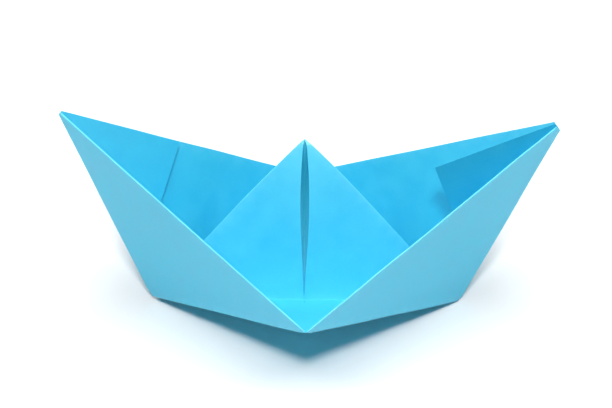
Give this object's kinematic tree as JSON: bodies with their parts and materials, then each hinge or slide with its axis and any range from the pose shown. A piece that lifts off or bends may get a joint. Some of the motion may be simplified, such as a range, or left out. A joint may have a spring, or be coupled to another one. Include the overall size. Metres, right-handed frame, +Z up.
{
  "type": "origami sailboat",
  "caption": "Folded paper boat: one sheet folded into a hull with two raised pointed ends and a triangular peak amidships that stands for its sail.",
  "frame": {"origin": "centre of the bounding box in plan, on the surface that the boat rests on", "axes": "+X along the keel from the left end to the right end as seen from the near side, +Y from the near side to the far side, +Z up"},
  "size_m": [0.1568, 0.0964, 0.0701],
  "materials": {
    "blue_paper": "matt uncoated coloured paper"
  },
  "bodies": {
    "root": {"folded_sheet": "blue_paper"}
  },
  "joints": []
}
